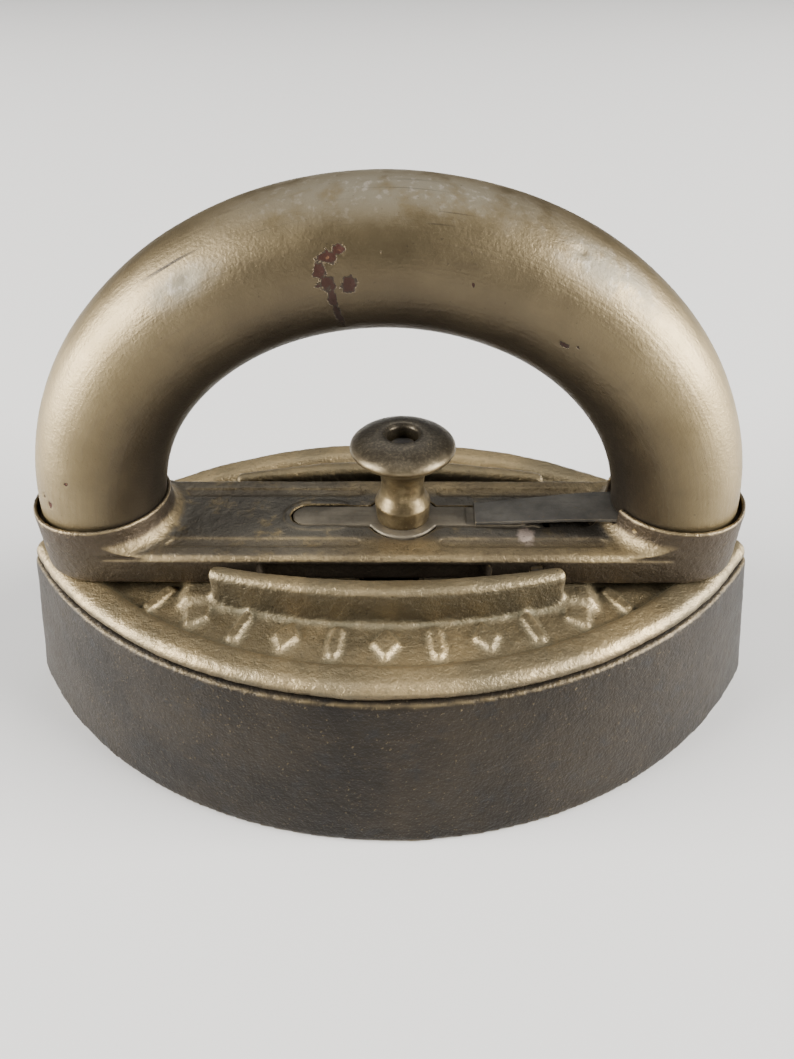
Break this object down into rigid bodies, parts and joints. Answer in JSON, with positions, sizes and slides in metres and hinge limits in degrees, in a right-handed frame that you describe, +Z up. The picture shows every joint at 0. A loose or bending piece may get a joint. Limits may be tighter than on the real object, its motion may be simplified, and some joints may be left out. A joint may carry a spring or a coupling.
{
  "type": "sad iron",
  "caption": "Sad iron with a lens-shaped hollow iron base and a half-ring wooden handle on a cast yoke that lifts off with a sprung knob latch.",
  "frame": {"origin": "centre of the sole, on the surface the iron stands on", "axes": "+X along the iron's length towards the latch spring, +Y across it, +Z up"},
  "size_m": [0.1638, 0.093, 0.1098],
  "materials": {
    "body_paint": "worn bronze-gold paint on cast iron, finely pitted",
    "cap_paint": "bronze-gold paint on cast iron, dark in the hollows",
    "yoke_paint": "thin bronze-gold paint on cast iron, rubbed dark on top",
    "painted_wood": "smooth bronze-gold paint on turned wood, chipped and scratched",
    "latch_steel": "dull, with traces of bronze paint",
    "knob_paint": "bronze-gold paint, worn grey on top",
    "spring_steel": "dull grey, rubbed",
    "dark_steel": "dark, unpainted",
    "plaster": "chalky"
  },
  "bodies": {
    "base": {"body_casting": "body_paint", "insulating_fill": "plaster", "cap_plate": "cap_paint", "keeper_bracket": "dark_steel", "keeper_rivets": "dark_steel", "cap_bolt": "dark_steel", "cap_bolt_washer": "dark_steel"},
    "handle": {"handle_yoke": "yoke_paint", "wooden_grip": "painted_wood", "left_grip_screw": "dark_steel", "right_grip_screw": "dark_steel", "latch_pivot_pin": "dark_steel"},
    "latch": {"latch_lever": "latch_steel", "latch_knob": "knob_paint", "knob_rivet": "dark_steel"},
    "spring": {"leaf_spring": "spring_steel"}
  },
  "joints": [
    {"name": "handle_lift", "type": "slide", "parent": "base", "child": "handle", "axis": [0, 0, 1], "range_m": [0, 0.06]},
    {"name": "knob_pull", "type": "hinge", "parent": "handle", "child": "latch", "pos_m": [0.029, 0, 0.0405], "axis": [0, 1, 0], "range_deg": [0, 11], "stiffness_Nm_per_rad": 0.6, "springref_deg": -8.59},
    {"name": "spring_flex", "type": "hinge", "parent": "handle", "child": "spring", "pos_m": [0.047, 0, 0.0461], "axis": [0, 1, 0], "range_deg": [0, 5]}
  ],
  "couplings": [
    {"joint": "spring_flex", "follows": "knob_pull", "ratio": 0.42}
  ]
}
